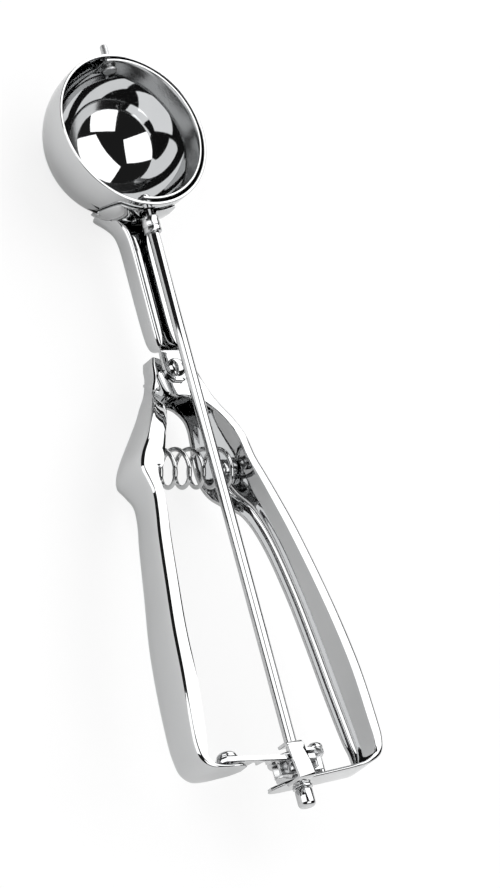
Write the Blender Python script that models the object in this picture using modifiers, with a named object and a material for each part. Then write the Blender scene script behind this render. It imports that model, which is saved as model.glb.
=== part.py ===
"""Squeeze-handle scoop: a half-ball bowl on a channel neck, two spring-opened channel
handles riveted below it, and a rack and pinion at the handle ends that turn a long rod
and with it the scraper inside the bowl.

Local frame: origin at the centre of the bowl's ball, on the rod's axis. +Y runs along the
rod away from the handles, +Z is the open side of the bowl, +X is the fixed handle's side.
The scoop lies on its back, so the whole model is lifted onto z = 0 by the root empty.
"""

import math

import bmesh
import bpy
from mathutils import Matrix, Vector

MM = 0.001

# Driving sizes, in millimetres
SHEET = 0.9                  # stamped sheet of the handles and the neck
GAP = 0.3                    # running gap between neighbouring pieces
BALL_R = 22.0                # outer radius of the bowl
BOWL_WALL = 0.8
COLLAR = 3.5                 # straight wall between the half ball and the rim
ROD_R = 1.6
HOLE_R = ROD_R + GAP
PIN_R = 1.0                  # pin at the bowl's far side
PIN_HOLE_R = PIN_R + GAP
PIVOT = (0.0, -64.3)         # X and Y of the handles' rivet
RIVET_R = 1.5
RACK_Y = -178.05             # middle of the rack's thickness
PITCH_R = 5.5                # pinion's pitch radius
TEETH = 11
MODULE = 2.0 * PITCH_R / TEETH
TAB_Y = -181.8               # middle of the fixed handle's end tab, at the rod
TAB_SLOPE = 0.14             # the tab drops towards the moving handle
SPRING_Y = -92.0
SPRING_Z = -7.35
REST = Vector((5.9, 81.15, BALL_R)) * MM    # bowl centre in world coordinates

Y_AXIS = Matrix.Rotation(math.radians(-90.0), 4, "X")   # turns a shape's own +Z to +Y
X_AXIS = Matrix.Rotation(math.radians(90.0), 4, "Y")    # turns a shape's own +Z to +X
Z_AXIS = Matrix.Identity(4)


def clear_scene():
    for obj in list(bpy.data.objects):
        bpy.data.objects.remove(obj, do_unlink=True)


def make_collection(name):
    collection = bpy.data.collections.new(name)
    bpy.context.scene.collection.children.link(collection)
    return collection


def make_material(name, colour, roughness, metallic=1.0):
    material = bpy.data.materials.new(name)
    material.use_nodes = True
    shader = material.node_tree.nodes["Principled BSDF"]
    shader.inputs["Base Color"].default_value = (*colour, 1.0)
    shader.inputs["Roughness"].default_value = roughness
    shader.inputs["Metallic"].default_value = metallic
    return material


clear_scene()
PARTS = make_collection("ice_scoop")
CUTTERS = make_collection("cutters")
POLISHED = make_material("polished_steel", (0.78, 0.79, 0.80), 0.08)
SATIN = make_material("satin_steel", (0.66, 0.67, 0.68), 0.25)
SPRING_STEEL = make_material("spring_steel", (0.70, 0.71, 0.73), 0.15)


def make_empty(name, place, parent=None):
    empty = bpy.data.objects.new(name, None)
    empty.empty_display_size = 5 * MM
    empty.location = place
    empty.parent = parent
    PARTS.objects.link(empty)
    return empty


ROOT = make_empty("scoop_frame", REST)
HINGE = make_empty("squeeze_hinge", Vector((PIVOT[0], PIVOT[1], 0.0)) * MM, ROOT)
DRIVE = make_empty("drive_axis", Vector((0.0, 0.0, 0.0)), ROOT)


def add_mesh(name, bm, material, carrier):
    """Makes a mesh object from geometry in the local frame, hung from the empty it moves with."""
    bmesh.ops.recalc_face_normals(bm, faces=bm.faces)
    mesh = bpy.data.meshes.new(name)
    bm.to_mesh(mesh)
    bm.free()
    mesh.transform(Matrix.Translation(-carrier.location if carrier is not ROOT else Vector()))
    mesh.materials.append(material)
    obj = bpy.data.objects.new(name, mesh)
    obj.parent = carrier
    PARTS.objects.link(obj)
    return obj


def smooth(obj, angle=35.0):
    obj.data.shade_smooth()
    obj.data.set_sharp_from_angle(angle=math.radians(angle))


def turned(name, profile, turn, place, material, carrier, steps=32):
    """A Screw about one axis. The profile is (radius, height) pairs, outer side running down."""
    bm = bmesh.new()
    points = [bm.verts.new((r * MM, 0.0, h * MM)) for r, h in profile]
    loop = points if profile[0][0] == 0.0 else points + points[:1]
    for first, second in zip(loop, loop[1:]):
        bm.edges.new((first, second))
    mesh = bpy.data.meshes.new(name)
    bm.to_mesh(mesh)
    bm.free()
    obj = bpy.data.objects.new(name, mesh)
    mesh.materials.append(material)
    obj.parent = carrier
    offset = Vector(place) * MM - (carrier.location if carrier is not ROOT else Vector())
    obj.matrix_local = Matrix.Translation(offset) @ turn
    PARTS.objects.link(obj)
    screw = obj.modifiers.new("turn", "SCREW")
    screw.steps = screw.render_steps = steps
    screw.use_merge_vertices = True
    screw.merge_threshold = 1e-6
    screw.use_smooth_shade = True
    return obj


def flat_plate(name, outlines, thickness, turn, place, material, carrier):
    """An extruded flat outline; the first loop is the edge and the others are holes."""
    curve = bpy.data.curves.new(name, "CURVE")
    curve.dimensions = "2D"
    curve.fill_mode = "BOTH"
    curve.extrude = thickness / 2 * MM
    for outline in outlines:
        spline = curve.splines.new("POLY")
        spline.points.add(len(outline) - 1)
        for point, (x, y) in zip(spline.points, outline):
            point.co = (x * MM, y * MM, 0.0, 1.0)
        spline.use_cyclic_u = True
    curve.materials.append(material)
    obj = bpy.data.objects.new(name, curve)
    obj.parent = carrier
    offset = Vector(place) * MM - (carrier.location if carrier is not ROOT else Vector())
    obj.matrix_local = Matrix.Translation(offset) @ turn
    PARTS.objects.link(obj)
    return obj


def circle(radius, steps=28, centre=(0.0, 0.0)):
    turn = 2 * math.pi / steps
    return [(centre[0] + radius * math.cos(i * turn), centre[1] + radius * math.sin(i * turn))
            for i in range(steps)]


def cut_hole(obj, radius, low, high, turn, steps=28):
    """Bores a straight hole through a mesh object, between two local points on its axis."""
    bm = bmesh.new()
    length = (Vector(high) - Vector(low)).length * MM
    bmesh.ops.create_cone(bm, cap_ends=True, segments=steps, radius1=radius * MM,
                          radius2=radius * MM, depth=length)
    mesh = bpy.data.meshes.new(obj.name + "_bore")
    bm.to_mesh(mesh)
    bm.free()
    cutter = bpy.data.objects.new(mesh.name, mesh)
    middle = (Vector(high) + Vector(low)) / 2 * MM
    cutter.matrix_world = Matrix.Translation(REST + middle) @ turn
    cutter.hide_render = True
    cutter.display_type = "WIRE"
    CUTTERS.objects.link(cutter)
    boolean = obj.modifiers.new("bore", "BOOLEAN")
    boolean.operation = "DIFFERENCE"
    boolean.solver = "EXACT"
    boolean.object = cutter


def lofted_shell(name, rows, material, carrier, thickness=SHEET, outward=-1.0):
    """Skins rows of points (each row a cross-section) and thickens the skin to sheet metal."""
    bm = bmesh.new()
    grid = [[bm.verts.new(Vector(point) * MM) for point in row] for row in rows]
    for row, following in zip(grid, grid[1:]):
        for a, b, c, d in zip(row, row[1:], following[1:], following):
            bm.faces.new((a, b, c, d))
    obj = add_mesh(name, bm, material, carrier)
    solidify = obj.modifiers.new("sheet", "SOLIDIFY")
    solidify.thickness = thickness * MM
    solidify.offset = outward
    solidify.use_even_offset = True
    return obj


def channel_section(station, inward, front, back, depth, centre_z, corner):
    """One U section of a handle: front flange, rounded corners, web, back flange."""
    half = depth / 2
    bend = min(corner, half * 0.9, max(front, 0.05), max(back, 0.05))
    points = [(front, half)]
    for i in range(4):
        angle = math.radians(30.0 * i)
        points.append((bend * (1 - math.sin(angle)), half - bend * (1 - math.cos(angle))))
    for i in range(4):
        angle = math.radians(30.0 * (3 - i))
        points.append((bend * (1 - math.sin(angle)), -half + bend * (1 - math.cos(angle))))
    points.append((back, -half))
    return [(station.x + inward.x * reach, station.y + inward.y * reach, centre_z + z)
            for reach, z in points]


# --- bowl and scraper ---------------------------------------------------------------

def bowl_profile(rings=9):
    inner = BALL_R - BOWL_WALL
    arc = [math.radians(90.0 * i / rings) for i in range(rings + 1)]
    inside = [(inner * math.sin(a), -inner * math.cos(a)) for a in arc]
    outside = [(BALL_R * math.sin(a), -BALL_R * math.cos(a)) for a in reversed(arc)]
    return inside + [(inner, COLLAR), (BALL_R, COLLAR)] + outside


def build_bowl():
    bowl = turned("bowl", bowl_profile(), Z_AXIS, (0, 0, 0), POLISHED, ROOT, steps=44)
    cut_hole(bowl, HOLE_R, (0, -BALL_R - 3, 0), (0, -BALL_R + 5, 0), Y_AXIS)
    cut_hole(bowl, PIN_HOLE_R, (0, BALL_R - 5, 0), (0, BALL_R + 3, 0), Y_AXIS)


SCRAPER_R = 20.4             # outer radius of the band, clear of the ball's inner face
SCRAPER_WALL = 0.6
SCRAPER_WIDTH = 7.4
SCRAPER_REACH = 98.0         # the band runs this many degrees to each side of +X


def build_scraper(steps=36):
    rows = []
    for i in range(steps + 1):
        angle = math.radians(SCRAPER_REACH * (2 * i / steps - 1))
        x, y = SCRAPER_R * math.cos(angle), SCRAPER_R * math.sin(angle)
        rows.append([(x, y, -SCRAPER_WIDTH / 2), (x, y, SCRAPER_WIDTH / 2)])
    scraper = lofted_shell("scraper", rows, POLISHED, DRIVE, thickness=SCRAPER_WALL)
    cut_hole(scraper, HOLE_R, (0, -SCRAPER_R - 3, 0), (0, -SCRAPER_R + 3, 0), Y_AXIS)
    cut_hole(scraper, PIN_HOLE_R, (0, SCRAPER_R - 3, 0), (0, SCRAPER_R + 3, 0), Y_AXIS)


def build_axle_pieces():
    """Rod, its ferrule at the bowl, the pin at the bowl's far side, and the end nut."""
    rod = [(0, -17.9), (1.35, -17.9), (ROD_R, -18.3), (ROD_R, -186.2), (1.3, -186.6), (0, -186.6)]
    turned("drive_rod", rod, Y_AXIS, (0, 0, 0), POLISHED, DRIVE, steps=24)
    ferrule = [(HOLE_R, -24.4), (2.35, -24.4), (2.35, -28.2), (2.1, -28.6), (HOLE_R, -28.6)]
    turned("rod_collar", ferrule, Y_AXIS, (0, 0, 0), SATIN, DRIVE, steps=24)
    pin = [(0, 26.2), (0.8, 26.2), (PIN_R, 25.9), (PIN_R, 19.2), (1.9, 19.2), (1.9, 18.4),
           (0, 18.4)]
    turned("bowl_pin", pin, Y_AXIS, (0, 0, 0), SATIN, DRIVE, steps=20)
    washer = [(HOLE_R, -182.95), (2.6, -182.95), (2.6, -183.55), (HOLE_R, -183.55)]
    turned("end_washer", washer, Y_AXIS, (0, 0, 0), SATIN, DRIVE, steps=24)
    nut = [(0, -186.9), (HOLE_R, -186.9), (HOLE_R, -183.85), (2.0, -183.85), (2.3, -184.15),
           (2.3, -187.8), (1.7, -188.5), (0, -188.5)]
    turned("end_nut", nut, Y_AXIS, (0, 0, 0), POLISHED, DRIVE, steps=24)


# --- neck ---------------------------------------------------------------------------

# Each station: Y, half width, top of the walls, corner radius, back face of the floor
NECK_START = (-22.0, 5.6, -5.2, 3.2, -12.2)
NECK_STATIONS = (
    (-24.6, 4.6, -5.6, 2.6, -12.2), (-28.0, 3.9, -5.6, 2.0, -12.2), (-34.0, 3.6, -5.7, 1.6, -12.2),
    (-46.0, 3.6, -5.8, 1.6, -12.2), (-54.0, 3.6, -5.8, 1.6, -11.6), (-57.2, 3.6, -5.5, 1.2, -9.6),
    (-59.8, 3.8, -5.0, 0.5, -6.25), (-64.0, 4.0, -5.0, 0.4, -6.25), (-66.6, 3.4, -5.0, 0.4, -6.25),
    (-68.2, 1.6, -5.0, 0.4, -6.25),
)


SADDLE_OUTLINE = (           # height, half width
    (0.9, 8.2), (-0.8, 9.1), (-2.5, 9.6), (-5.0, 9.8), (-7.5, 9.6), (-10.0, 9.0), (-12.5, 7.9),
    (-15.0, 6.0), (-17.2, 3.2),
)


def neck_row(y, half_width, top, corner, floor, on_ball=False):
    side = [(-half_width, top), (-half_width, (top + floor + corner) / 2)]
    for i in range(4):
        angle = math.radians(30.0 * i)
        side.append((-half_width + corner * (1 - math.cos(angle)),
                     floor + corner * (1 - math.sin(angle))))
    points = side + [(0.0, floor)] + [(-x, z) for x, z in reversed(side)]
    if not on_ball:
        return [(x, y, z) for x, z in points]
    shell = BALL_R + GAP + SHEET * 0.6
    return [(x, -math.sqrt(max(shell ** 2 - x * x - z * z, 0.0)), z) for x, z in points]


def saddle_row(z, half_width, count=12):
    """One line of the saddle that cups the ball, at a given height."""
    shell = BALL_R + GAP + SHEET
    row = []
    for i in range(count + 1):
        x = half_width * (2 * i / count - 1)
        level = min(z, 0.0)
        row.append((x, -math.sqrt(shell ** 2 - x * x - level * level), z))
    return row


def build_neck():
    rows = [neck_row(*NECK_START, on_ball=True)]
    rows += [neck_row(*station) for station in NECK_STATIONS]
    neck = lofted_shell("neck", rows, POLISHED, ROOT)
    rows = [saddle_row(height, half_width) for height, half_width in SADDLE_OUTLINE]
    saddle = lofted_shell("neck_saddle", rows, POLISHED, ROOT)
    saddle.hide_render = True
    saddle.display_type = "WIRE"
    PARTS.objects.unlink(saddle)
    CUTTERS.objects.link(saddle)
    join = neck.modifiers.new("saddle", "BOOLEAN")
    join.operation = "UNION"
    join.object = saddle
    cut_hole(neck, ROD_R + 0.9, (0, -BALL_R - 5, 0), (0, -BALL_R + 5, 0), Y_AXIS)
    cut_hole(neck, RIVET_R + GAP, (*PIVOT, -8.0), (*PIVOT, -3.0), Z_AXIS)


# --- handles ------------------------------------------------------------------------

# Each station: web X, web Y, front flange, back flange, depth, middle Z, corner radius
LEFT_STATIONS = (
    (-4.9, -60.4, 5.6, 5.6, 5.4, -10.2, 0.6), (-5.5, -62.4, 10.0, 10.0, 5.4, -10.2, 0.7),
    (-5.8, -64.6, 10.6, 10.6, 5.4, -10.2, 0.8), (-6.5, -67.0, 9.6, 9.6, 5.6, -10.2, 0.9),
    (-7.8, -69.8, 5.6, 6.2, 5.6, -10.2, 1.0), (-10.0, -73.0, 4.2, 4.6, 8.0, -9.2, 1.6),
    (-12.6, -76.8, 4.6, 5.0, 10.2, -7.9, 2.2), (-16.0, -81.6, 4.8, 5.6, 13.0, -6.9, 2.8),
    (-19.9, -87.0, 5.6, 8.0, 15.6, -6.2, 3.6), (-22.9, -91.6, 6.4, 9.0, 16.0, -6.0, 4.0),
    (-24.1, -95.6, 5.6, 8.4, 15.6, -5.8, 3.8), (-23.2, -99.2, 3.6, 6.0, 13.8, -5.0, 3.4),
    (-22.6, -102.6, 3.2, 4.4, 12.2, -4.2, 3.0), (-23.5, -108.0, 3.4, 3.8, 11.6, -3.6, 2.8),
    (-25.2, -115.0, 3.6, 3.8, 11.8, -3.0, 2.6), (-28.0, -128.3, 3.8, 3.8, 12.6, -1.8, 2.5),
    (-30.9, -141.7, 4.0, 4.0, 13.8, -0.5, 2.5), (-33.0, -155.0, 4.2, 4.0, 14.4, 0.8, 2.5),
    (-34.5, -168.5, 4.0, 3.8, 13.4, 1.5, 2.5), (-34.6, -174.0, 3.4, 3.2, 12.6, 1.7, 2.4),
    (-33.6, -177.6, 2.4, 2.2, 12.0, 1.8, 1.8), (-30.9, -179.6, 1.2, 1.0, 11.4, 2.0, 0.9),
    (-27.6, -179.9, 0.5, 0.5, 10.2, 2.6, 0.4), (-24.6, -179.9, 0.4, 0.4, 8.6, 3.6, 0.35),
    (-22.2, -179.9, 0.35, 0.35, 7.0, 4.6, 0.3), (-20.4, -179.9, 0.3, 0.3, 3.4, 5.4, 0.25),
)
RIGHT_STATIONS = (
    (6.2, -60.2, 7.0, 7.0, 7.8, -10.2, 0.7), (6.9, -62.4, 12.0, 12.0, 7.8, -10.2, 0.8),
    (7.4, -65.0, 12.6, 12.6, 7.8, -10.2, 0.9), (8.3, -67.8, 12.0, 12.0, 8.0, -10.2, 1.0),
    (8.9, -70.0, 8.8, 9.6, 8.6, -10.1, 1.2), (9.3, -72.4, 5.6, 7.0, 9.4, -9.6, 1.5),
    (9.8, -76.0, 3.4, 5.6, 10.8, -8.6, 2.0), (10.5, -81.0, 3.0, 6.4, 13.4, -7.2, 2.6),
    (11.2, -86.6, 3.0, 8.0, 15.6, -6.2, 3.0), (12.1, -92.6, 3.0, 8.6, 16.0, -6.0, 3.0),
    (13.8, -97.4, 3.0, 7.0, 15.2, -5.6, 3.0), (15.8, -103.4, 3.2, 4.4, 12.4, -4.1, 2.8),
    (18.3, -113.0, 3.4, 3.8, 11.8, -3.2, 2.6), (20.4, -127.5, 3.4, 3.6, 12.6, -1.9, 2.5),
    (21.6, -141.7, 3.4, 3.6, 13.8, -0.5, 2.5), (22.2, -155.0, 3.4, 3.6, 14.4, 0.8, 2.5),
    (22.8, -168.5, 3.4, 3.4, 13.4, 1.5, 2.5), (22.8, -174.0, 3.0, 2.8, 12.6, 1.7, 2.2),
    (21.6, -177.6, 2.2, 2.0, 11.8, 1.6, 1.6), (18.6, -179.4, 1.0, 1.0, 10.4, 1.3, 0.8),
    (14.6, -180.2, 0.5, 0.5, 9.0, 0.8, 0.4), (8.0, -181.13, 0.4, 0.4, 8.4, 0.3, 0.35),
    (0.0, -182.25, 0.4, 0.4, 8.2, -0.2, 0.35), (-5.0, -182.95, 0.35, 0.35, 7.0, -0.8, 0.3),
    (-7.6, -183.31, 0.35, 0.35, 4.8, -1.4, 0.3), (-8.8, -183.48, 0.3, 0.3, 2.0, -1.8, 0.25),
)


def handle_rows(stations, side):
    """side is +1 for the handle at -X, whose channel opens towards +X."""
    rows = []
    for i, (x, y, front, back, depth, middle, corner) in enumerate(stations):
        before = Vector(stations[max(i - 1, 0)][:2])
        after = Vector(stations[min(i + 1, len(stations) - 1)][:2])
        along = (after - before).normalized()
        inward = Vector((-along.y, along.x)) * side
        rows.append(channel_section(Vector((x, y)), inward, front, back, depth, middle, corner))
    return rows


def build_handles():
    left = lofted_shell("left_handle", handle_rows(LEFT_STATIONS, 1), POLISHED, HINGE)
    right = lofted_shell("right_handle", handle_rows(RIGHT_STATIONS, -1), POLISHED, ROOT)
    for handle in (left, right):
        cut_hole(handle, RIVET_R + GAP, (*PIVOT, -20.0), (*PIVOT, 0.0), Z_AXIS)
    tab = (0.0, TAB_Y - 3.0, 0.0), (0.0, TAB_Y + 3.0, 0.0)
    cut_hole(right, SLEEVE_R + GAP, *tab, Y_AXIS)


SLEEVE_R = 2.4


def build_pivot_and_spring():
    rivet = [(0, -3.9), (0.9, -4.0), (1.8, -4.35), (2.45, -4.9), (2.6, -5.3), (RIVET_R, -5.3),
             (RIVET_R, -14.4), (2.5, -14.4), (2.4, -15.0), (1.6, -15.4), (0, -15.4)]
    turned("pivot_rivet", rivet, Z_AXIS, (*PIVOT, 0), POLISHED, ROOT, steps=28)
    seat = [(HOLE_R, -181.05), (SLEEVE_R, -181.05), (SLEEVE_R, -182.7), (HOLE_R, -182.7)]
    turned("tab_sleeve", seat, Y_AXIS, (0, 0, 0), SATIN, ROOT, steps=24)
    stud = [(0, 4.6), (1.5, 4.6), (2.2, 3.9), (2.2, 0.0), (0, 0.0)]
    turned("left_spring_stud", stud, X_AXIS, (-20.6, SPRING_Y, SPRING_Z), SATIN, HINGE, steps=20)
    back_to_front = Matrix.Rotation(math.radians(180.0), 4, "Z")
    turned("right_spring_stud", stud, back_to_front @ X_AXIS, (10.7, SPRING_Y, SPRING_Z), SATIN,
           ROOT, steps=20)
    build_spring()


SPRING_LEFT, SPRING_RIGHT = -17.5, 8.8
SPRING_TURNS, SPRING_COIL_R, SPRING_WIRE_R = 6.0, 4.9, 0.6


def build_spring(steps_per_turn=16):
    curve = bpy.data.curves.new("handle_spring", "CURVE")
    curve.dimensions = "3D"
    curve.bevel_depth = SPRING_WIRE_R * MM
    curve.bevel_resolution = 2
    curve.use_fill_caps = True
    count = int(SPRING_TURNS * steps_per_turn)
    spline = curve.splines.new("POLY")
    spline.points.add(count)
    for i, point in enumerate(spline.points):
        angle = 2 * math.pi * i / steps_per_turn
        x = SPRING_LEFT + (SPRING_RIGHT - SPRING_LEFT) * i / count
        point.co = (x * MM, SPRING_COIL_R * math.cos(angle) * MM,
                    SPRING_COIL_R * math.sin(angle) * MM, 1.0)
    curve.materials.append(SPRING_STEEL)
    spring = bpy.data.objects.new("handle_spring", curve)
    spring.parent = ROOT
    spring.location = Vector((0.0, SPRING_Y, SPRING_Z)) * MM
    PARTS.objects.link(spring)


# --- rack and pinion ----------------------------------------------------------------

ADDENDUM, DEDENDUM = 0.85, 1.1
RACK_THICKNESS = 1.3
RACK_TEETH = 7
RACK_FRONT = 8.3             # Z of the rack's front edge
STUD_PLACE = (-24.5, 5.3)    # X and Z of the rack's stud


def pinion_outline():
    turn = 2 * math.pi / TEETH
    points = []
    for i in range(TEETH):
        middle = turn * (i + 0.5) - math.pi / 2
        for radius, half in ((PITCH_R - DEDENDUM, 1.02), (PITCH_R + ADDENDUM, 0.36)):
            points.append((radius, middle - half / radius))
        for radius, half in ((PITCH_R + ADDENDUM, 0.36), (PITCH_R - DEDENDUM, 1.02)):
            points.append((radius, middle + half / radius))
    return [(radius * math.cos(a), radius * math.sin(a)) for radius, a in points]


def rack_outline():
    """In (X, -Z): teeth point to -Z, back at the rod."""
    pitch = math.pi * MODULE
    root, tip = -(PITCH_R + DEDENDUM), -(PITCH_R - ADDENDUM)
    points = [(1.2, root), (0.2, -RACK_FRONT), (-26.6, -RACK_FRONT), (-27.8, -6.6),
              (-27.8, -3.4), (-26.6, -2.3), (-22.4, -2.3), (-21.2, -3.6), (-20.6, root)]
    for k in reversed(range(RACK_TEETH)):
        x = -k * pitch
        points += [(x - 0.95, root), (x - 0.3, tip), (x + 0.3, tip), (x + 0.95, root)]
    return points


def build_rack_and_pinion():
    length = 3.6
    flat_plate("pinion", [pinion_outline(), circle(HOLE_R)], length, Y_AXIS,
               (0, -180.0 + length / 2, 0), SATIN, DRIVE)
    guard = [(HOLE_R, -175.3), (7.0, -175.3), (7.2, -175.5), (7.2, -176.1), (HOLE_R, -176.1)]
    turned("pinion_guard", guard, Y_AXIS, (0, 0, 0), SATIN, DRIVE, steps=32)
    stud_hole = circle(1.6, 20, (STUD_PLACE[0], -STUD_PLACE[1]))
    flat_plate("rack", [rack_outline(), stud_hole], RACK_THICKNESS, Y_AXIS,
               (0, RACK_Y, 0), POLISHED, HINGE)
    stud = [(0, 3.2), (1.7, 3.0), (2.5, 2.4), (2.8, 1.6), (2.8, 1.3), (1.3, 1.3), (1.3, -0.6),
            (0, -0.6)]
    turned("rack_stud", stud, Y_AXIS, (STUD_PLACE[0], RACK_Y - 0.35, STUD_PLACE[1]), POLISHED,
           HINGE, steps=28)


GUIDE_WIDTH = 5.0


def build_tab_pieces():
    """The strap that keeps the rack in mesh, and the shouldered screw at its other side."""
    tilt = Matrix.Rotation(math.atan(TAB_SLOPE), 4, "Z")
    strap = [(3.4, 0.0), (8.4, 0.0), (9.2, 0.3), (9.5, 1.1), (9.5, 8.8), (9.1, 9.7), (8.2, 10.1),
             (5.2, 10.1), (5.2, 9.3), (8.0, 9.3), (8.5, 9.1), (8.7, 8.6), (8.7, 1.3),
             (8.5, 0.9), (8.0, 0.8), (3.4, 0.8)]
    profile = [(-z, y) for z, y in strap]
    turn = tilt @ Matrix.Rotation(math.radians(-90.0), 4, "Y")
    flat_plate("rack_guide", [profile], GUIDE_WIDTH, turn @ Matrix.Scale(-1, 4, (1, 0, 0)),
               (-4.5, TAB_Y - SHEET / 2 - GAP - 0.8 + TAB_SLOPE * -4.5, 0), POLISHED, ROOT)
    screw = [(0, 9.3), (1.2, 9.2), (1.8, 8.7), (2.0, 8.1), (2.0, 6.2), (1.1, 6.2), (1.1, 0.0),
             (0, 0.0)]
    turned("guide_screw", screw, Y_AXIS, (8.9, -179.8, -2.6), POLISHED, ROOT, steps=24)


build_bowl()
build_scraper()
build_axle_pieces()
build_neck()
build_handles()
build_pivot_and_spring()
build_rack_and_pinion()
build_tab_pieces()
for part in PARTS.objects:
    if part.type == "MESH" and not any(m.type == "SCREW" for m in part.modifiers):
        smooth(part)
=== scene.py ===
import math

import bpy
from mathutils import Matrix, Vector


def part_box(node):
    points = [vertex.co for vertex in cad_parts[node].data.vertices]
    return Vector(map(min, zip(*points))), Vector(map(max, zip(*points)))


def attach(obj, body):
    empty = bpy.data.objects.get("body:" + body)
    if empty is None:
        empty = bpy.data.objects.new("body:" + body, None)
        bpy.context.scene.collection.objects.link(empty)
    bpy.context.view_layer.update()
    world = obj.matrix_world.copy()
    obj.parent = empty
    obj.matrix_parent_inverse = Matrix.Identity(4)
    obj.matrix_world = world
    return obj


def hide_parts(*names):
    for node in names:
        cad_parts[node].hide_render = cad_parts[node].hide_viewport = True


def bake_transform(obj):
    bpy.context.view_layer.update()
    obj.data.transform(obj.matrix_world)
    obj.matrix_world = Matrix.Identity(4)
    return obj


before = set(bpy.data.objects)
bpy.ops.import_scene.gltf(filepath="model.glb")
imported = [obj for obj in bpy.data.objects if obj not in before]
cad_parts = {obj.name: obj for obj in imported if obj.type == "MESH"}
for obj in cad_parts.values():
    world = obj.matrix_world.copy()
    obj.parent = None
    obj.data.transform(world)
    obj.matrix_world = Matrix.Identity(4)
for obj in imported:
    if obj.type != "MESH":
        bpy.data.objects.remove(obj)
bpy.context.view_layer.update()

# Every place below is in millimetres from the centre of the bowl's ball, which lies on the
# rod's axis: X towards the fixed handle, Y up the rod to the bowl, Z out of the bowl's mouth.
mm = 0.001
ballLow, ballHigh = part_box("bowl")
ballRadius = (ballHigh.x - ballLow.x) / 2 / mm
bowlCentre = Vector(((ballLow.x + ballHigh.x) / 2, (ballLow.y + ballHigh.y) / 2,
                     ballLow.z + ballRadius * mm))
alongRod = (math.radians(-90.0), 0.0, 0.0)      # turns a piece's own +Z to +Y
acrossHandles = (0.0, math.radians(90.0), 0.0)  # turns a piece's own +Z to +X
upright = (0.0, 0.0, 0.0)


def at(x, y, z):
    return bowlCentre + Vector((x, y, z)) * mm


# modelling helpers

def deselectAll():
    if bpy.context.object and bpy.context.mode != "OBJECT":
        bpy.ops.object.mode_set(mode="OBJECT")
    bpy.ops.object.select_all(action="DESELECT")


def pick(piece):
    deselectAll()
    piece.select_set(True)
    bpy.context.view_layer.objects.active = piece


def settle(piece, place, turn=upright):
    pick(piece)
    piece.location = place
    piece.rotation_euler = turn
    bpy.ops.object.transform_apply(location=True, rotation=True, scale=True)


def tidyNormals(piece):
    pick(piece)
    bpy.ops.object.mode_set(mode="EDIT")
    bpy.ops.mesh.select_all(action="SELECT")
    bpy.ops.mesh.remove_doubles(threshold=0.000001)
    bpy.ops.mesh.normals_make_consistent(inside=False)
    bpy.ops.object.mode_set(mode="OBJECT")


def roundEdges(piece, width, segments=2, sharperThan=40.0):
    bevel = piece.modifiers.new("rounded edges", "BEVEL")
    bevel.width = width * mm
    bevel.segments = segments
    bevel.limit_method = "ANGLE"
    bevel.angle_limit = math.radians(sharperThan)
    bevel.harden_normals = False
    pick(piece)
    bpy.ops.object.modifier_apply(modifier=bevel.name)


def shade(piece, sharperThan=35.0):
    pick(piece)
    bpy.ops.object.shade_smooth_by_angle(angle=math.radians(sharperThan))


def turnPiece(name, outline, place, turn, edge=0.12, sides=64):
    # outline holds (radius, height) from the bottom cap to the top cap
    deselectAll()
    bpy.ops.mesh.primitive_circle_add(vertices=sides, radius=outline[0][0] * mm, fill_type="NGON",
                                      location=(0.0, 0.0, outline[0][1] * mm))
    piece = bpy.context.object
    piece.name = name
    bpy.ops.object.transform_apply(location=True, rotation=True, scale=True)
    bpy.ops.object.mode_set(mode="EDIT")
    bpy.ops.mesh.select_all(action="SELECT")
    for (radius, height), (nextRadius, nextHeight) in zip(outline, outline[1:]):
        rise = (0.0, 0.0, (nextHeight - height) * mm)
        bpy.ops.mesh.extrude_region_move(TRANSFORM_OT_translate={"value": rise})
        grow = nextRadius / radius
        bpy.ops.transform.resize(value=(grow, grow, 1.0), center_override=(0.0, 0.0, 0.0))
    bpy.ops.object.mode_set(mode="OBJECT")
    tidyNormals(piece)
    roundEdges(piece, edge)
    settle(piece, place, turn)
    shade(piece)
    return piece


def dome(radius, height, rise, steps=8):
    # the outline of a domed head, from its rim up to its pole
    outline = []
    for step in range(steps + 1):
        lean = math.radians(90.0 * step / steps)
        outline.append((max(radius * math.cos(lean), 0.03), height + rise * math.sin(lean)))
    return outline


def sheetPiece(name, rows, thickness, side, edge=0.15):
    # rows of points become one sheet; side is -1 where the rows are its outer face
    across, along = len(rows[0]) - 1, len(rows) - 1
    deselectAll()
    bpy.ops.mesh.primitive_grid_add(x_subdivisions=across, y_subdivisions=along, size=2.0)
    piece = bpy.context.object
    piece.name = name
    for corner in piece.data.vertices:
        column = round((corner.co.x + 1.0) / 2.0 * across)
        row = round((corner.co.y + 1.0) / 2.0 * along)
        corner.co = at(*rows[row][column])
    wall = piece.modifiers.new("sheet", "SOLIDIFY")
    wall.thickness = thickness * mm
    wall.offset = side
    wall.use_even_offset = True
    pick(piece)
    bpy.ops.object.modifier_apply(modifier=wall.name)
    roundEdges(piece, edge, segments=2, sharperThan=55.0)
    shade(piece, 45.0)
    return piece


def throughStations(stations, between):
    # a smooth run through the stations, with the same number of rows between each two
    last = len(stations) - 1
    rows = []
    for step in range(last * between + 1):
        k = min(step // between, last - 1)
        t = step / between - k
        before, start, end, after = (Vector(stations[min(max(k + j, 0), last)])
                                     for j in (-1, 0, 1, 2))
        rows.append(0.5 * (2 * start + (end - before) * t
                           + (2 * before - 5 * start + 4 * end - after) * t * t
                           + (3 * start - before - 3 * end + after) * t ** 3))
    return rows


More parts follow.
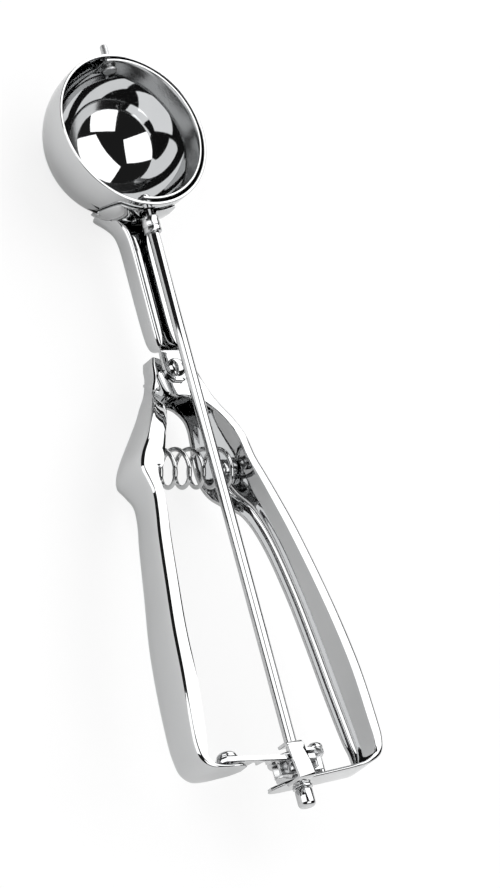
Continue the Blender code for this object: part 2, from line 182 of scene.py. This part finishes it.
def copyOfNode(name, node, edge, sharperThan=25.0):
    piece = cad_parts[node].copy()
    piece.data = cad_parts[node].data.copy()
    for key in list(piece.keys()):
        if key.startswith("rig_"):
            del piece[key]
    piece.parent = None
    piece.name = name
    bpy.context.scene.collection.objects.link(piece)
    pick(piece)
    piece.matrix_world = Matrix.Identity(4)
    bpy.ops.object.mode_set(mode="EDIT")
    bpy.ops.mesh.select_all(action="SELECT")
    bpy.ops.mesh.remove_doubles(threshold=0.000002)
    bpy.ops.mesh.dissolve_limited(angle_limit=math.radians(1.0))
    bpy.ops.object.mode_set(mode="OBJECT")
    piece.data.materials.clear()
    roundEdges(piece, edge, sharperThan=sharperThan)
    shade(piece, 30.0)
    return piece


# finishes

class Wire:
    # one output of a shader graph, with arithmetic
    def __init__(self, graph, socket):
        self.graph = graph
        self.socket = socket

    def maths(self, operation, other, swapped=False):
        pair = (other, self) if swapped else (self, other)
        return self.graph.add("ShaderNodeMath", {"operation": operation}, {0: pair[0], 1: pair[1]})

    def __add__(self, other):
        return self.maths("ADD", other)

    __radd__ = __add__

    def __mul__(self, other):
        return self.maths("MULTIPLY", other)

    __rmul__ = __mul__

    def __sub__(self, other):
        return self.maths("SUBTRACT", other)

    def __rsub__(self, other):
        return self.maths("SUBTRACT", other, swapped=True)


class Finish:
    def __init__(self, name):
        self.material = bpy.data.materials.new(name)
        self.material.use_nodes = True
        self.tree = self.material.node_tree
        self.shader = self.tree.nodes["Principled BSDF"]

    def add(self, kind, settings, inputs, output=0):
        node = self.tree.nodes.new(kind)
        for name, value in settings.items():
            setattr(node, name, value)
        for name, value in inputs.items():
            self.feed(node.inputs[name], value)
        return Wire(self, node.outputs[output])

    def feed(self, socket, value):
        if isinstance(value, Wire):
            self.tree.links.new(value.socket, socket)
        else:
            socket.default_value = value

    def noise(self, scale, detail=3.0, stretch=(1.0, 1.0, 1.0)):
        place = self.add("ShaderNodeTexCoord", {}, {}, "Object")
        place = self.add("ShaderNodeMapping", {}, {"Vector": place, "Scale": stretch})
        return self.add("ShaderNodeTexNoise", {},
                        {"Vector": place, "Scale": scale, "Detail": detail})

    def blend(self, factor, first, second):
        node = self.tree.nodes.new("ShaderNodeMix")
        node.data_type = "RGBA"
        self.feed(node.inputs["Factor"], factor)
        self.feed(node.inputs[6], (*first, 1.0))
        self.feed(node.inputs[7], (*second, 1.0))
        return Wire(self, node.outputs[2])

    def bump(self, height, strength, distance):
        return self.add("ShaderNodeBump", {}, {"Height": height, "Strength": strength,
                                               "Distance": distance})


plating = {
    "bright": (0.52, 0.524, 0.527),
    "clouded": (0.475, 0.48, 0.484),
    "roughness": 0.005,      # where it's cleanest
    "smudgeRoughness": 0.05,
    "smudgeSize": 90.0,      # smudges per metre
    "gritRoughness": 0.02,
    "gritSize": 9000.0,      # specks per metre
    "orangePeel": 700.0,     # ripples per metre
    "rippleStrength": 0.06,
    "rippleDepth": 0.00004,
}


def polishedPlate(name, dullness=0.0):
    finish = Finish(name)
    smudge = finish.noise(plating["smudgeSize"], 4.0)
    ripple = finish.noise(plating["orangePeel"], 2.0)
    grit = finish.noise(plating["gritSize"], 2.0)
    finish.shader.inputs["Metallic"].default_value = 1.0
    finish.feed(finish.shader.inputs["Base Color"],
                finish.blend(smudge, plating["bright"], plating["clouded"]))
    finish.feed(finish.shader.inputs["Roughness"],
                smudge * plating["smudgeRoughness"] + grit * plating["gritRoughness"]
                + (plating["roughness"] + dullness))
    finish.feed(finish.shader.inputs["Normal"],
                finish.bump(ripple, plating["rippleStrength"], plating["rippleDepth"]))
    return finish.material


turning = {
    "bright": (0.58, 0.585, 0.59),
    "dull": (0.44, 0.445, 0.45),
    "lines": 1500.0,         # tool lines per metre, along the axis
    "lineStretch": 0.06,     # how far a line runs round the piece
    "patches": 260.0,        # patches per metre
    "roughness": 0.10,       # where it's cleanest
    "lineRoughness": 0.10,
    "patchRoughness": 0.06,
    "lineShare": 0.6,        # of the colour's change, the rest is the patches'
    "lineStrength": 0.12,
    "lineDepth": 0.00003,
}


def satinSteel(name, alongAxis=1, roughness=turning["roughness"]):
    finish = Finish(name)
    stretch = [turning["lineStretch"]] * 3
    stretch[alongAxis] = 1.0
    lines = finish.noise(turning["lines"], 3.0, tuple(stretch))
    patches = finish.noise(turning["patches"], 3.0)
    finish.shader.inputs["Metallic"].default_value = 1.0
    finish.feed(finish.shader.inputs["Base Color"],
                finish.blend(lines * turning["lineShare"] + patches * (1.0 - turning["lineShare"]),
                             turning["bright"], turning["dull"]))
    finish.feed(finish.shader.inputs["Roughness"],
                lines * turning["lineRoughness"] + patches * turning["patchRoughness"] + roughness)
    finish.feed(finish.shader.inputs["Normal"],
                finish.bump(lines, turning["lineStrength"], turning["lineDepth"]))
    return finish.material


platedSheet = polishedPlate("plated sheet")
rubbedStrip = polishedPlate("rubbed strip", 0.16)
platedRod = polishedPlate("plated rod", 0.015)
turnedSteel = satinSteel("turned steel")
crossTurnedSteel = satinSteel("turned steel, across", 0)
pegSteel = satinSteel("peg steel", 1, 0.36)
springWire = polishedPlate("spring wire", 0.04)
print("finishes made")


def finishPiece(piece, material, body, slotName, *nodes):
    piece.data.materials.clear()
    piece.data.materials.append(material)
    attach(piece, body)
    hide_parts(*nodes)
    print("made", piece.name)


bowl = {"wall": 0.8, "collar": 3.5, "segments": 128, "rings": 64, "rimRound": 0.22,
        "rodHole": 1.9, "pinHole": 1.3, "holeDepth": 5.0}


def drill(piece, radius, low, high, turn):
    deselectAll()
    low, high = Vector(low), Vector(high)
    bpy.ops.mesh.primitive_cylinder_add(vertices=48, radius=radius * mm,
                                        depth=(high - low).length * mm)
    bit = bpy.context.object
    settle(bit, at(*((low + high) / 2)), turn)
    hole = piece.modifiers.new("hole", "BOOLEAN")
    hole.operation = "DIFFERENCE"
    hole.solver = "EXACT"
    hole.object = bit
    pick(piece)
    bpy.ops.object.modifier_apply(modifier=hole.name)
    bpy.data.objects.remove(bit, do_unlink=True)


def makeBowl():
    deselectAll()
    bpy.ops.mesh.primitive_uv_sphere_add(segments=bowl["segments"], ring_count=bowl["rings"],
                                         radius=ballRadius * mm)
    shell = bpy.context.object
    shell.name = "bowl_shell"
    bpy.ops.object.mode_set(mode="EDIT")
    bpy.ops.mesh.select_all(action="SELECT")
    bpy.ops.mesh.bisect(plane_co=(0.0, 0.0, 0.0), plane_no=(0.0, 0.0, 1.0), clear_outer=True)
    bpy.ops.mesh.select_all(action="DESELECT")
    bpy.ops.mesh.select_non_manifold()
    lift = (0.0, 0.0, bowl["collar"] * mm)
    bpy.ops.mesh.extrude_region_move(TRANSFORM_OT_translate={"value": lift})
    bpy.ops.object.mode_set(mode="OBJECT")
    tidyNormals(shell)
    wall = shell.modifiers.new("wall", "SOLIDIFY")
    wall.thickness = bowl["wall"] * mm
    wall.offset = -1.0
    pick(shell)
    bpy.ops.object.modifier_apply(modifier=wall.name)
    roundEdges(shell, bowl["rimRound"], segments=3, sharperThan=50.0)
    settle(shell, bowlCentre)
    deep = ballRadius - bowl["holeDepth"]
    drill(shell, bowl["rodHole"], (0, -ballRadius - 2, 0), (0, -deep, 0), alongRod)
    drill(shell, bowl["pinHole"], (0, deep, 0), (0, ballRadius + 2, 0), alongRod)
    shade(shell, 35.0)
    finishPiece(shell, platedSheet, "frame", "bowl", "bowl")


makeBowl()

# reach is the angle from the middle of the strip to either end
scraper = {"radius": 20.4, "wall": 0.6, "width": 7.4, "reach": 98.0, "steps": 110, "across": 6,
           "rodHole": 1.75}


def makeScraper():
    rows = []
    half = scraper["width"] / 2
    for step in range(scraper["steps"] + 1):
        part = 2.0 * step / scraper["steps"] - 1.0
        angle = math.radians(scraper["reach"] * part)
        x, y = scraper["radius"] * math.cos(angle), scraper["radius"] * math.sin(angle)
        rows.append([(x, y, half * (1.0 - 2.0 * k / scraper["across"]))
                     for k in range(scraper["across"] + 1)])
    strip = sheetPiece("scraper_strip", rows, scraper["wall"], -1.0, edge=0.12)
    drill(strip, scraper["rodHole"], (0, -scraper["radius"] - 2, 0),
          (0, -scraper["radius"] + 3, 0), alongRod)
    shade(strip, 45.0)
    finishPiece(strip, rubbedStrip, "drive", "scraper", "scraper")


makeScraper()

rod = {"radius": 1.6, "top": -17.9, "bottom": -186.6, "chamfer": 0.4, "topFlat": 1.35,
       "bottomFlat": 1.3}

# What else turns on the rod's line: outlines of (radius, height along the rod)
axle = {
    "collar": ((2.1, -28.6), (2.35, -28.3), (2.35, -27.3), (2.2, -27.2), (2.2, -26.9),
               (2.35, -26.8), (2.35, -24.4)),
    "pin": ((1.7, 18.4), (1.9, 18.6), (1.9, 19.15), (1.0, 19.2), (1.0, 25.8), (0.75, 26.2)),
    "washer": ((2.6, -183.55), (2.6, -182.95)),
    "nut": ((1.2, -188.5), (1.75, -188.4), (2.1, -188.1), (2.3, -187.6), (2.3, -184.2),
            (2.0, -183.85)),
}


def makeAxlePieces():
    r, low, high = rod["radius"], rod["bottom"], rod["top"]
    outline = [(rod["bottomFlat"], low), (r, low + rod["chamfer"]), (r, -120.0), (r, -60.0),
               (r, high - rod["chamfer"]), (rod["topFlat"], high)]
    shaft = turnPiece("rod_shaft", outline, bowlCentre, alongRod, 0.05)
    finishPiece(shaft, platedRod, "drive", "rod", "drive_rod")
    collar = turnPiece("rod_collar_ring", axle["collar"], bowlCentre, alongRod, 0.06)
    finishPiece(collar, turnedSteel, "drive", "collar", "rod_collar")
    pin = turnPiece("bowl_pin_peg", axle["pin"], bowlCentre, alongRod, 0.08, sides=48)
    finishPiece(pin, pegSteel, "drive", "pin", "bowl_pin")
    washer = turnPiece("end_washer_disc", axle["washer"], bowlCentre, alongRod, 0.1)
    finishPiece(washer, turnedSteel, "drive", "washer", "end_washer")
    nut = turnPiece("end_nut_cap", axle["nut"], bowlCentre, alongRod, 0.1)
    finishPiece(nut, platedRod, "drive", "nut", "end_nut")


makeAxlePieces()

neck = {
    "sheet": 0.9,
    "lipBend": 1.0,
    "ballReach": 22.8,       # the channel's end is pulled out to this radius round the ball
    # Y, half width, top of the walls, corner radius, lip, back
    "stations": ((-18.6, 8.6, -6.6, 4.4, 0.3, -15.4), (-20.4, 7.0, -6.4, 4.0, 0.3, -14.4),
                 (-22.2, 5.7, -6.0, 3.4, 0.4, -13.4), (-23.8, 4.8, -5.7, 2.8, 1.0, -12.7),
                 (-25.6, 4.2, -5.6, 2.2, 1.8, -12.3), (-28.6, 3.8, -5.6, 1.9, 2.3, -12.2),
                 (-34.0, 3.6, -5.7, 1.6, 2.3, -12.2), (-46.0, 3.6, -5.8, 1.6, 2.3, -12.2),
                 (-53.0, 3.6, -5.8, 1.6, 2.2, -12.0), (-56.8, 3.6, -5.7, 1.3, 1.6, -11.0),
                 (-58.6, 3.7, -5.4, 0.8, 0.6, -9.0), (-59.7, 3.8, -5.0, 0.5, 0.1, -6.5),
                 (-61.0, 3.95, -5.0, 0.4, 0.05, -6.22), (-64.3, 4.0, -5.0, 0.4, 0.05, -6.22),
                 (-66.4, 3.4, -5.0, 0.4, 0.05, -6.22), (-68.0, 1.6, -5.0, 0.4, 0.05, -6.22)),
}


def neckRow(y, half, top, corner, lip, back):
    bend = min(neck["lipBend"], lip)
    side = [(-half + lip, top)]
    for k in range(5):
        lean = math.radians(22.5 * k)
        side.append((-half + bend * (1 - math.sin(lean)), top - bend * (1 - math.cos(lean))))
    side.append((-half, (top - bend + back + corner) / 2))
    for k in range(7):
        lean = math.radians(15.0 * k)
        side.append((-half + corner * (1 - math.cos(lean)), back + corner * (1 - math.sin(lean))))
    side += [(-(half - corner) * 0.6, back), (-(half - corner) * 0.3, back)]
    section = side + [(0.0, back)] + [(-x, z) for x, z in reversed(side)]
    reach = neck["ballReach"]
    return [(x, min(y, -math.sqrt(max(reach ** 2 - x * x - z * z, 0.0))), z) for x, z in section]


saddle = {"wall": 0.8, "sheet": 0.7, "lowEdge": 0.15, "feather": 3.0, "rodHole": 2.2,
          "steps": 36,
          # height, half width
          "outline": ((0.9, 8.2), (-0.8, 9.1), (-2.5, 9.6), (-5.0, 9.8), (-7.5, 9.6), (-10.0, 9.0),
                      (-12.5, 7.9), (-15.0, 6.0), (-16.4, 4.4), (-17.2, 2.6))}


def makeNeck():
    rows = [neckRow(*row) for row in throughStations(neck["stations"], 8)]
    channel = sheetPiece("neck_channel", rows, neck["sheet"], -1.0, edge=0.12)
    finishPiece(channel, platedSheet, "frame", "neck", "neck")
    rows = []
    highest, lowest = saddle["outline"][0][0], saddle["outline"][-1][0]
    for height, half in throughStations(saddle["outline"], 3):
        level = min(height, 0.0)
        row = []
        for k in range(saddle["steps"] + 1):
            x = half * (2.0 * k / saddle["steps"] - 1.0)
            # the sheet is worn down to a feather edge all round
            inside = min(half - abs(x), highest - height, height - lowest) / saddle["feather"]
            inside = min(max(inside, 0.0), 1.0)
            rise = saddle["lowEdge"] + (saddle["wall"] - saddle["lowEdge"]) * math.sin(
                inside * math.pi / 2)
            shell = ballRadius + rise
            row.append((x, -math.sqrt(shell ** 2 - x * x - level * level), height))
        rows.append(row)
    cup = sheetPiece("neck_saddle", rows, saddle["sheet"], -1.0, edge=0.1)
    drill(cup, saddle["rodHole"], (0, -ballRadius - 3, 0), (0, -ballRadius + 3, 0), alongRod)
    shade(cup, 45.0)
    finishPiece(cup, platedSheet, "frame", "neck", "neck")


makeNeck()

handle = {"sheet": 0.9, "edge": 0.16, "rowsBetween": 6, "cornerSteps": 6}

# Each station: web X, web Y, front flange, back flange, depth, middle Z, back and front corners
leftStations = (
    (-4.9, -60.4, 5.4, 5.6, 5.4, -10.2, 0.6, 0.6), (-5.5, -62.4, 9.8, 10.0, 5.4, -10.2, 0.7, 0.7),
    (-5.8, -64.6, 10.6, 10.6, 5.4, -10.2, 0.8, 0.8), (-6.5, -67.0, 9.6, 9.6, 5.6, -10.2, 0.9, 0.9),
    (-7.8, -69.8, 5.6, 6.2, 5.6, -10.2, 1.0, 1.0), (-10.0, -73.0, 4.2, 4.6, 8.0, -9.2, 1.6, 1.2),
    (-12.6, -76.8, 4.6, 5.0, 10.2, -7.9, 2.2, 1.2), (-16.0, -81.6, 4.8, 5.6, 13.0, -6.9, 2.8, 1.2),
    (-19.9, -87.0, 5.6, 8.0, 15.6, -6.2, 3.6, 1.3), (-22.9, -91.6, 6.4, 9.0, 16.0, -6.0, 4.0, 1.4),
    (-24.1, -95.6, 5.6, 8.4, 15.6, -5.8, 3.8, 1.4), (-23.2, -99.2, 3.6, 6.0, 13.8, -5.0, 3.4, 1.3),
    (-22.6, -102.6, 3.2, 4.4, 12.2, -4.2, 3.0, 1.2), (-23.5, -108.0, 3.4, 3.8, 11.6, -3.6, 2.8, 1.2),
    (-25.2, -115.0, 3.6, 3.8, 11.8, -3.0, 2.6, 1.2), (-28.0, -128.3, 3.8, 3.8, 12.6, -1.8, 2.5, 1.2),
    (-30.9, -141.7, 4.0, 4.0, 13.8, -0.5, 2.5, 1.2), (-33.0, -155.0, 4.2, 4.0, 14.4, 0.8, 2.5, 1.2),
    (-34.5, -168.5, 4.0, 3.8, 13.4, 1.5, 2.5, 1.2), (-34.6, -174.0, 3.4, 3.2, 12.6, 1.7, 2.4, 1.2),
    (-33.6, -177.6, 2.4, 2.2, 12.0, 1.8, 1.8, 1.1), (-30.9, -179.6, 1.2, 1.0, 11.4, 2.0, 0.9, 0.8),
    (-27.6, -179.9, 0.5, 0.5, 10.2, 2.6, 0.4, 0.4), (-24.6, -179.9, 0.4, 0.4, 8.6, 3.6, 0.35, 0.35),
    (-22.2, -179.9, 0.35, 0.35, 7.0, 4.6, 0.3, 0.3), (-20.4, -179.9, 0.3, 0.3, 3.4, 5.4, 0.25, 0.25),
)
rightStations = (
    (6.2, -60.2, 6.8, 7.0, 7.8, -10.2, 0.7, 0.7), (6.9, -62.4, 11.8, 12.0, 7.8, -10.2, 0.8, 0.8),
    (7.4, -65.0, 12.6, 12.6, 7.8, -10.2, 0.9, 0.9), (8.3, -67.8, 12.0, 12.0, 8.0, -10.2, 1.0, 1.0),
    (8.9, -70.0, 8.8, 9.6, 8.6, -10.1, 1.2, 1.1), (9.3, -72.4, 5.6, 7.0, 9.4, -9.6, 1.5, 1.2),
    (9.8, -76.0, 3.4, 5.6, 10.8, -8.6, 2.0, 1.2), (10.5, -81.0, 3.0, 6.4, 13.4, -7.2, 2.6, 1.2),
    (11.2, -86.6, 3.0, 8.0, 15.6, -6.2, 3.0, 1.2), (12.1, -92.6, 3.0, 8.6, 16.0, -6.0, 3.0, 1.2),
    (13.8, -97.4, 3.0, 7.0, 15.2, -5.6, 3.0, 1.2), (15.8, -103.4, 3.2, 4.4, 12.4, -4.1, 2.8, 1.2),
    (18.3, -113.0, 3.4, 3.8, 11.8, -3.2, 2.6, 1.2), (20.4, -127.5, 3.4, 3.6, 12.6, -1.9, 2.5, 1.2),
    (21.6, -141.7, 3.4, 3.6, 13.8, -0.5, 2.5, 1.2), (22.2, -155.0, 3.4, 3.6, 14.4, 0.8, 2.5, 1.2),
    (22.8, -168.5, 3.4, 3.4, 13.4, 1.5, 2.5, 1.2), (22.8, -174.0, 3.0, 2.8, 12.6, 1.7, 2.2, 1.2),
    (21.6, -177.6, 2.2, 2.0, 11.8, 1.6, 1.6, 1.1), (18.6, -179.4, 1.0, 1.0, 10.4, 1.3, 0.8, 0.8),
    (14.6, -180.2, 0.5, 0.5, 9.0, 0.8, 0.4, 0.4), (8.0, -181.13, 0.4, 0.4, 8.4, 0.3, 0.35, 0.35),
    (0.0, -182.25, 0.4, 0.4, 8.2, -0.2, 0.35, 0.35),
    (-5.0, -182.95, 0.35, 0.35, 7.0, -0.8, 0.3, 0.3),
    (-7.6, -183.31, 0.35, 0.35, 4.8, -1.4, 0.3, 0.3),
    (-8.8, -183.48, 0.3, 0.3, 2.0, -1.8, 0.25, 0.25),
)


def cornerArc(bend, half, sign, steps):
    arc = []
    for k in range(steps + 1):
        lean = math.radians(90.0 * k / steps)
        arc.append((bend * (1 - math.sin(lean)), sign * (half - bend * (1 - math.cos(lean)))))
    return arc


def handleRows(stations, side):
    smoothRun = throughStations(stations, handle["rowsBetween"])
    rows = []
    for k, station in enumerate(smoothRun):
        x, y, front, back, depth, middle, backCorner, frontCorner = station
        before, after = smoothRun[max(k - 1, 0)], smoothRun[min(k + 1, len(smoothRun) - 1)]
        run = Vector((after[0] - before[0], after[1] - before[1])).normalized()
        inward = Vector((-run.y, run.x)) * side
        half = depth / 2
        frontBend = min(frontCorner, front, half * 0.9)
        backBend = min(backCorner, back, half * 0.9)
        steps = handle["cornerSteps"]
        frontArc = cornerArc(frontBend, half, 1.0, steps)
        backArc = list(reversed(cornerArc(backBend, half, -1.0, steps)))
        section = [(frontBend + (front - frontBend) * part, half) for part in (1.0, 0.66, 0.33)]
        section += frontArc
        for part in (0.25, 0.5, 0.75):
            section.append((0.0, frontArc[-1][1] * (1 - part) + backArc[0][1] * part))
        section += backArc
        section += [(backBend + (back - backBend) * part, -half) for part in (0.33, 0.66, 1.0)]
        rows.append([(x + inward.x * reach, y + inward.y * reach, middle + z)
                     for reach, z in section])
    return rows


def makeHandles():
    left = sheetPiece("left_handle_shell", handleRows(leftStations, 1.0), handle["sheet"], -1.0,
                      handle["edge"])
    finishPiece(left, platedSheet, "left_handle", "left_handle", "left_handle")
    right = sheetPiece("right_handle_shell", handleRows(rightStations, -1.0), handle["sheet"], 1.0,
                       handle["edge"])
    finishPiece(right, platedSheet, "frame", "right_handle", "right_handle")


makeHandles()


pivot = {
    "centre": (0.0, -64.3), "shank": 1.5, "shankLow": -14.4, "shankHigh": -5.32,
    "headRadius": 2.6, "headBase": -5.3, "headRise": 1.4,
    "backHead": ((1.4, -15.4), (2.3, -15.0), (2.5, -14.45)),
}


def makePivot():
    outline = list(pivot["backHead"])
    outline += [(pivot["shank"], pivot["shankLow"]), (pivot["shank"], pivot["shankHigh"])]
    outline += dome(pivot["headRadius"], pivot["headBase"], pivot["headRise"])
    rivet = turnPiece("pivot_rivet_dome", outline, at(*pivot["centre"], 0), upright, 0.05)
    finishPiece(rivet, platedRod, "frame", "rivet", "pivot_rivet")


makePivot()

spring = {"y": -92.0, "z": -7.35, "left": -17.5, "right": 8.8, "turns": 6.0, "radius": 4.9,
          "wire": 0.6, "wireSides": 20, "stepsPerTurn": 48}


def makeSpring():
    deselectAll()
    bpy.ops.mesh.primitive_circle_add(vertices=spring["wireSides"], radius=spring["wire"] * mm,
                                      location=(spring["radius"] * mm, 0.0, 0.0),
                                      rotation=(math.radians(90.0), 0.0, 0.0))
    coil = bpy.context.object
    coil.name = "handle_spring_coil"
    bpy.ops.object.transform_apply(location=True, rotation=True, scale=True)
    wind = coil.modifiers.new("wind", "SCREW")
    wind.angle = math.radians(360.0 * spring["turns"])
    wind.screw_offset = (spring["right"] - spring["left"]) * mm
    wind.steps = wind.render_steps = int(spring["turns"] * spring["stepsPerTurn"])
    pick(coil)
    bpy.ops.object.modifier_apply(modifier=wind.name)
    bpy.ops.object.mode_set(mode="EDIT")
    bpy.ops.mesh.select_all(action="SELECT")
    bpy.ops.mesh.fill_holes(sides=spring["wireSides"] + 1)
    bpy.ops.object.mode_set(mode="OBJECT")
    tidyNormals(coil)
    settle(coil, at(spring["left"], spring["y"], spring["z"]), acrossHandles)
    shade(coil, 50.0)
    coil.data.materials.append(springWire)
    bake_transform(coil)
    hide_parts("handle_spring")


makeSpring()


# Each stud stands on its handle's web and points into the spring
stud = {"outline": ((2.2, 0.0), (2.2, 3.9), (1.9, 4.4), (1.4, 4.6)), "leftFoot": -20.6,
        "rightFoot": 10.7}


def makeStuds():
    left = turnPiece("left_spring_stud_peg", stud["outline"],
                     at(stud["leftFoot"], spring["y"], spring["z"]), acrossHandles)
    finishPiece(left, crossTurnedSteel, "left_handle", "stud_left", "left_spring_stud")
    right = turnPiece("right_spring_stud_peg", stud["outline"],
                      at(stud["rightFoot"], spring["y"], spring["z"]),
                      (0.0, math.radians(-90.0), 0.0))
    finishPiece(right, crossTurnedSteel, "frame", "stud_right", "right_spring_stud")


makeStuds()


# What stands on the two tabs: outlines of (radius, height), and where each starts
tabPieces = {
    "guard": ((7.2, -176.1), (7.2, -175.3)),
    "rackStud": ((1.3, -0.6), (1.3, 1.28), (2.8, 1.3), (2.8, 1.65), (2.55, 1.75), (2.55, 1.95),
                 (2.6, 2.1), (2.3, 2.6), (1.7, 3.0), (0.9, 3.18)),
    "rackStudFoot": (-24.5, -178.4, 5.3),
    "guideScrew": ((1.1, 0.0), (1.1, 6.18), (2.0, 6.2), (2.0, 7.3), (1.75, 7.4), (1.75, 7.6),
                   (2.0, 7.7), (2.0, 8.2), (1.8, 8.7), (1.2, 9.2), (0.5, 9.3)),
    "guideScrewFoot": (8.9, -179.8, -2.6),
}


def makeDrivePieces():
    rack = copyOfNode("toothed_rack", "rack", 0.12)
    finishPiece(rack, platedRod, "left_handle", "rack", "rack")
    gear = copyOfNode("pinion_teeth", "pinion", 0.10)
    finishPiece(gear, turnedSteel, "drive", "pinion", "pinion")
    guard = turnPiece("pinion_guard_disc", tabPieces["guard"], bowlCentre, alongRod, 0.15)
    finishPiece(guard, turnedSteel, "drive", "guard", "pinion_guard")
    sleeve = copyOfNode("tab_bush", "tab_sleeve", 0.08)
    finishPiece(sleeve, turnedSteel, "frame", "sleeve", "tab_sleeve")
    strap = copyOfNode("rack_guide_strap", "rack_guide", 0.14, 50.0)
    finishPiece(strap, platedSheet, "frame", "rack_guide", "rack_guide")
    head = turnPiece("rack_stud_head", tabPieces["rackStud"], at(*tabPieces["rackStudFoot"]),
                     alongRod, 0.05)
    finishPiece(head, platedRod, "left_handle", "rack_stud", "rack_stud")
    screw = turnPiece("guide_screw_head", tabPieces["guideScrew"],
                      at(*tabPieces["guideScrewFoot"]), alongRod, 0.05)
    finishPiece(screw, platedRod, "frame", "guide_screw", "guide_screw")


makeDrivePieces()

camera = {"towards": (-0.574, -0.3455, 0.7424), "roll": -15.19, "distance": 1600.0,
          "target": (-4.0, -85.0, -3.0), "aside": 15.85, "above": -1.99, "lens": 254.5,
          "sensor": 36.0}


def makeCamera():
    towards = Vector(camera["towards"]).normalized()
    level = Vector((0.0, 1.0, 0.0)).cross(towards).normalized()
    rise = towards.cross(level)
    roll = math.radians(camera["roll"])
    right = level * math.cos(roll) + rise * math.sin(roll)
    up = rise * math.cos(roll) - level * math.sin(roll)
    target = Vector(camera["target"]) + right * camera["aside"] + up * camera["above"]
    lens = bpy.data.cameras.new("view")
    lens.lens = camera["lens"]
    lens.sensor_width = camera["sensor"]
    lens.clip_end = 20.0
    viewer = bpy.data.objects.new("view", lens)
    turn = Matrix((right, up, towards)).transposed().to_4x4()
    viewer.matrix_world = Matrix.Translation(at(*(target + towards * camera["distance"]))) @ turn
    bpy.context.scene.collection.objects.link(viewer)
    bpy.context.scene.camera = viewer


makeCamera()

studio = {
    "floor": (0.82, 0.82, 0.82),
    "floorHalf": 3.0,
    "floorDrop": 0.0004,     # below the object's underside
    "blotch": 0.985,         # how much the floor's tone falls in its darker blotches
    "whitening": 0.8,        # how far the floor's shadows are lifted for the camera
    "horizon": 1.0,         # brightness of what lies behind the object
    "fill": 0.15,            # soft light from all around
    "reflected": 0.02,       # what polished metal sees between the light panels
    "middle": (-4.0, -80.0, 0.0),
    # direction from the middle, distance, width, height, power
    "panels": {
        "handle end": ((0.06, -0.75, 0.66), 1.1, 0.80, 0.80, 4.6),
        "moving side": ((-0.85, 0.09, 0.51), 1.1, 0.80, 1.30, 7.4),
        "overhead": ((0.42, 0.25, 0.87), 1.3, 1.60, 1.60, 20.0),
        "bowl end": ((0.52, 0.82, 0.30), 1.2, 1.10, 0.60, 5.0),
    },
}


def glow(tree, strength):
    node = tree.nodes.new("ShaderNodeBackground")
    node.inputs["Color"].default_value = (1.0, 1.0, 1.0, 1.0)
    node.inputs["Strength"].default_value = strength
    return node.outputs[0]


def choose(tree, factor, first, second):
    node = tree.nodes.new("ShaderNodeMixShader")
    for socket, link in zip(node.inputs, (factor, first, second)):
        tree.links.new(link, socket)
    return node.outputs[0]


def makeFloor():
    deselectAll()
    bpy.ops.mesh.primitive_plane_add(size=2 * studio["floorHalf"],
                                     location=(0.0, 0.0, -studio["floorDrop"]))
    floor = bpy.context.object
    floor.name = "floor"
    paint = Finish("floor paint")
    mottle = paint.noise(6.0, 2.0)
    tone = studio["floor"]
    paint.feed(paint.shader.inputs["Base Color"],
               paint.blend(mottle, tone, tuple(value * studio["blotch"] for value in tone)))
    paint.shader.inputs["Roughness"].default_value = 0.9
    # the camera sees the floor almost plain white, and the metal sees it shaded
    path = paint.add("ShaderNodeLightPath", {}, {}, "Is Camera Ray")
    white = paint.add("ShaderNodeEmission", {}, {"Strength": studio["horizon"]})
    shown = paint.add("ShaderNodeMixShader", {}, {0: path * studio["whitening"],
                                                  1: Wire(paint, paint.shader.outputs[0]), 2: white})
    output = paint.tree.nodes["Material Output"].inputs["Surface"]
    paint.feed(output, shown)
    floor.data.materials.append(paint.material)


def makePanels():
    middle = at(*studio["middle"])
    for name, (way, distance, width, height, power) in studio["panels"].items():
        light = bpy.data.lights.new(name, "AREA")
        light.shape = "RECTANGLE"
        light.size = width
        light.size_y = height
        light.energy = power
        panel = bpy.data.objects.new(name, light)
        way = Vector(way).normalized()
        panel.matrix_world = (Matrix.Translation(middle + way * distance)
                              @ way.to_track_quat("Z", "Y").to_matrix().to_4x4())
        panel.visible_camera = False
        bpy.context.scene.collection.objects.link(panel)


def makeSurroundings():
    world = bpy.data.worlds.new("surroundings")
    bpy.context.scene.world = world
    world.use_nodes = True
    tree = world.node_tree
    path = tree.nodes.new("ShaderNodeLightPath")
    lit = choose(tree, path.outputs["Is Glossy Ray"], glow(tree, studio["fill"]),
                 glow(tree, studio["reflected"]))
    seen = choose(tree, path.outputs["Is Camera Ray"], lit, glow(tree, studio["horizon"]))
    tree.links.new(seen, tree.nodes["World Output"].inputs["Surface"])
    bpy.context.scene.view_settings.view_transform = "Standard"


makeFloor()
makePanels()
makeSurroundings()
print("studio made")
